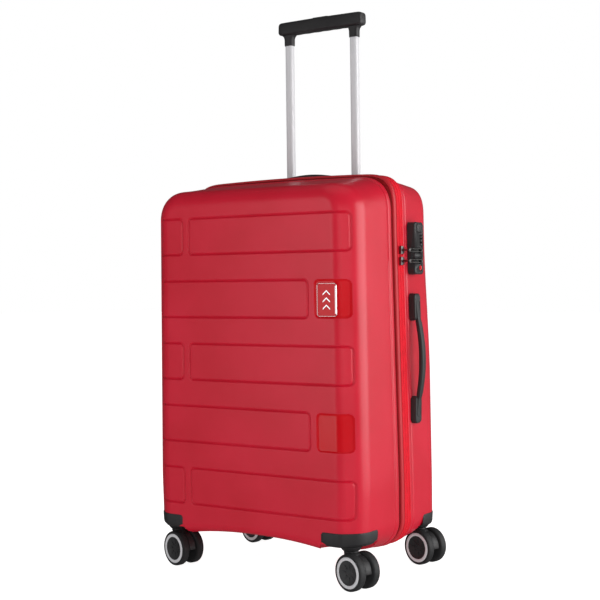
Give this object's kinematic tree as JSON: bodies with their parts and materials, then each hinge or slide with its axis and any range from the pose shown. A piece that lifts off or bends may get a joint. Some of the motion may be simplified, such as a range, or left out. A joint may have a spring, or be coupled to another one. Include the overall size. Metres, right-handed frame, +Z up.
{
  "type": "hard shell suitcase",
  "caption": "Upright ribbed hard shell suitcase with zip lid, telescopic trolley handle, carry handles, side combination lock and swivel castors.",
  "frame": {"origin": "centre of the bounding box footprint on the floor, under the wheels", "axes": "+Z up, -Y the ribbed front of the lid, +X the side with the lock and side carry handle"},
  "size_m": [0.4454, 0.2835, 0.971],
  "materials": {
    "red_shell": "fine matte grain, injection moulded",
    "red_band": "smooth matte",
    "zip_tape": "woven zip tape",
    "dark_zip": "closed expander zip in shadow",
    "lining": "polyester lining",
    "satin_aluminium": "satin anodised",
    "steel": "nickel plated",
    "emblem_chrome": "polished",
    "key_red": "gloss",
    "wheel_rubber": "matte",
    "black_plastic": "fine textured"
  },
  "bodies": {
    "case_base": {"back_shell": "red_shell", "body_zip_tape": "zip_tape", "back_lining": "lining", "strap_left": "lining", "strap_right": "lining", "strap_buckle": "black_plastic", "hinge_strip": "zip_tape", "outer_tube_left": "satin_aluminium", "outer_tube_right": "satin_aluminium", "trolley_cup": "black_plastic", "trolley_foot": "black_plastic", "side_handle_mount_a": "black_plastic", "side_handle_mount_b": "black_plastic", "top_handle_mount_a": "black_plastic", "top_handle_mount_b": "black_plastic", "lock_body": "black_plastic", "corner_guard_rear_left": "black_plastic", "corner_guard_rear_right": "black_plastic"},
    "lid": {"front_shell": "red_shell", "gusset_band": "red_band", "expander_zip": "dark_zip", "lid_zip_tape": "zip_tape", "lid_divider": "lining", "front_emblem": "emblem_chrome", "corner_guard_front_left": "black_plastic", "corner_guard_front_right": "black_plastic"},
    "trolley": {"inner_tube_left": "satin_aluminium", "inner_tube_right": "satin_aluminium", "trolley_collar_left": "black_plastic", "trolley_collar_right": "black_plastic", "trolley_grip": "black_plastic"},
    "trolley_button": {"trolley_button": "black_plastic"},
    "side_grip": {"side_handle_grip": "black_plastic"},
    "top_grip": {"top_handle_grip": "black_plastic"},
    "slider_upper": {"zip_slider_upper": "steel"},
    "slider_lower": {"zip_slider_lower": "steel"},
    "loop_upper": {"pull_loop_upper": "steel"},
    "loop_lower": {"pull_loop_lower": "steel"},
    "lock_button": {"lock_button": "black_plastic"},
    "dial_1": {"lock_dial_1": "black_plastic"},
    "dial_2": {"lock_dial_2": "black_plastic"},
    "dial_3": {"lock_dial_3": "black_plastic"},
    "key": {"key_cylinder": "key_red"},
    "castor_front_left": {"castor_fork_front_left": "black_plastic", "castor_axle_front_left": "steel"},
    "wheel_front_left_a": {"wheel_front_left_a": "wheel_rubber"},
    "wheel_front_left_b": {"wheel_front_left_b": "wheel_rubber"},
    "castor_front_right": {"castor_fork_front_right": "black_plastic", "castor_axle_front_right": "steel"},
    "wheel_front_right_a": {"wheel_front_right_a": "wheel_rubber"},
    "wheel_front_right_b": {"wheel_front_right_b": "wheel_rubber"},
    "castor_rear_left": {"castor_fork_rear_left": "black_plastic", "castor_axle_rear_left": "steel"},
    "wheel_rear_left_a": {"wheel_rear_left_a": "wheel_rubber"},
    "wheel_rear_left_b": {"wheel_rear_left_b": "wheel_rubber"},
    "castor_rear_right": {"castor_fork_rear_right": "black_plastic", "castor_axle_rear_right": "steel"},
    "wheel_rear_right_a": {"wheel_rear_right_a": "wheel_rubber"},
    "wheel_rear_right_b": {"wheel_rear_right_b": "wheel_rubber"}
  },
  "joints": [
    {"name": "lid_hinge", "type": "hinge", "parent": "case_base", "child": "lid", "pos_m": [-0.239, 0.0078, 0.355], "axis": [0, 0, -1], "range_deg": [0, 180]},
    {"name": "trolley_slide", "type": "slide", "parent": "case_base", "child": "trolley", "axis": [0, 0, -1], "range_m": [0, 0.289]},
    {"name": "trolley_button_press", "type": "slide", "parent": "trolley", "child": "trolley_button", "axis": [0, 0, -1], "range_m": [0, 0.004], "stiffness_N_per_m": 400},
    {"name": "side_grip_pull", "type": "slide", "parent": "case_base", "child": "side_grip", "axis": [1, 0, 0], "range_m": [0, 0.01], "stiffness_N_per_m": 300},
    {"name": "top_grip_pull", "type": "slide", "parent": "case_base", "child": "top_grip", "axis": [0, 0, 1], "range_m": [0, 0.01], "stiffness_N_per_m": 300},
    {"name": "slider_upper_slide", "type": "slide", "parent": "case_base", "child": "slider_upper", "axis": [0, 0, 1], "range_m": [0, 0.055]},
    {"name": "slider_lower_slide", "type": "slide", "parent": "case_base", "child": "slider_lower", "axis": [0, 0, -1], "range_m": [0, 0.06]},
    {"name": "loop_upper_swing", "type": "hinge", "parent": "slider_upper", "child": "loop_upper", "pos_m": [0.2156, 0.012, 0.5437], "axis": [0, 0, -1], "range_deg": [0, 170]},
    {"name": "loop_lower_swing", "type": "hinge", "parent": "slider_lower", "child": "loop_lower", "pos_m": [0.2156, 0.012, 0.5255], "axis": [0, 0, -1], "range_deg": [0, 170]},
    {"name": "lock_button_press", "type": "slide", "parent": "case_base", "child": "lock_button", "axis": [-1, 0, 0], "range_m": [0, 0.002], "stiffness_N_per_m": 400},
    {"name": "dial_1_turn", "type": "hinge", "parent": "case_base", "child": "dial_1", "pos_m": [0.2092, 0.057, 0.5535], "axis": [0, 0, 1], "continuous": true},
    {"name": "dial_2_turn", "type": "hinge", "parent": "case_base", "child": "dial_2", "pos_m": [0.2092, 0.057, 0.56], "axis": [0, 0, 1], "continuous": true},
    {"name": "dial_3_turn", "type": "hinge", "parent": "case_base", "child": "dial_3", "pos_m": [0.2092, 0.057, 0.5665], "axis": [0, 0, 1], "continuous": true},
    {"name": "key_turn", "type": "hinge", "parent": "case_base", "child": "key", "pos_m": [0.21, 0.054, 0.514], "axis": [1, 0, 0], "range_deg": [0, 90]},
    {"name": "castor_swivel_front_left", "type": "hinge", "parent": "lid", "child": "castor_front_left", "pos_m": [-0.1897, -0.107, 0.064], "axis": [0, 0, 1], "continuous": true},
    {"name": "wheel_roll_front_left_a", "type": "hinge", "parent": "castor_front_left", "child": "wheel_front_left_a", "pos_m": [-0.17987, -0.12543, 0.03], "axis": [0.2419, 0.9703, 0], "continuous": true},
    {"name": "wheel_roll_front_left_b", "type": "hinge", "parent": "castor_front_left", "child": "wheel_front_left_b", "pos_m": [-0.17237, -0.09535, 0.03], "axis": [0.2419, 0.9703, 0], "continuous": true},
    {"name": "castor_swivel_front_right", "type": "hinge", "parent": "lid", "child": "castor_front_right", "pos_m": [0.1697, -0.107, 0.064], "axis": [0, 0, 1], "continuous": true},
    {"name": "wheel_roll_front_right_a", "type": "hinge", "parent": "castor_front_right", "child": "wheel_front_right_a", "pos_m": [0.17953, -0.12543, 0.03], "axis": [0.2419, 0.9703, 0], "continuous": true},
    {"name": "wheel_roll_front_right_b", "type": "hinge", "parent": "castor_front_right", "child": "wheel_front_right_b", "pos_m": [0.18703, -0.09535, 0.03], "axis": [0.2419, 0.9703, 0], "continuous": true},
    {"name": "castor_swivel_rear_left", "type": "hinge", "parent": "case_base", "child": "castor_rear_left", "pos_m": [-0.1897, 0.117, 0.064], "axis": [0, 0, 1], "continuous": true},
    {"name": "wheel_roll_rear_left_a", "type": "hinge", "parent": "castor_rear_left", "child": "wheel_rear_left_a", "pos_m": [-0.17987, 0.09857, 0.03], "axis": [0.2419, 0.9703, 0], "continuous": true},
    {"name": "wheel_roll_rear_left_b", "type": "hinge", "parent": "castor_rear_left", "child": "wheel_rear_left_b", "pos_m": [-0.17237, 0.12865, 0.03], "axis": [0.2419, 0.9703, 0], "continuous": true},
    {"name": "castor_swivel_rear_right", "type": "hinge", "parent": "case_base", "child": "castor_rear_right", "pos_m": [0.1697, 0.117, 0.064], "axis": [0, 0, 1], "continuous": true},
    {"name": "wheel_roll_rear_right_a", "type": "hinge", "parent": "castor_rear_right", "child": "wheel_rear_right_a", "pos_m": [0.17953, 0.09857, 0.03], "axis": [0.2419, 0.9703, 0], "continuous": true},
    {"name": "wheel_roll_rear_right_b", "type": "hinge", "parent": "castor_rear_right", "child": "wheel_rear_right_b", "pos_m": [0.18703, 0.12865, 0.03], "axis": [0.2419, 0.9703, 0], "continuous": true}
  ]
}
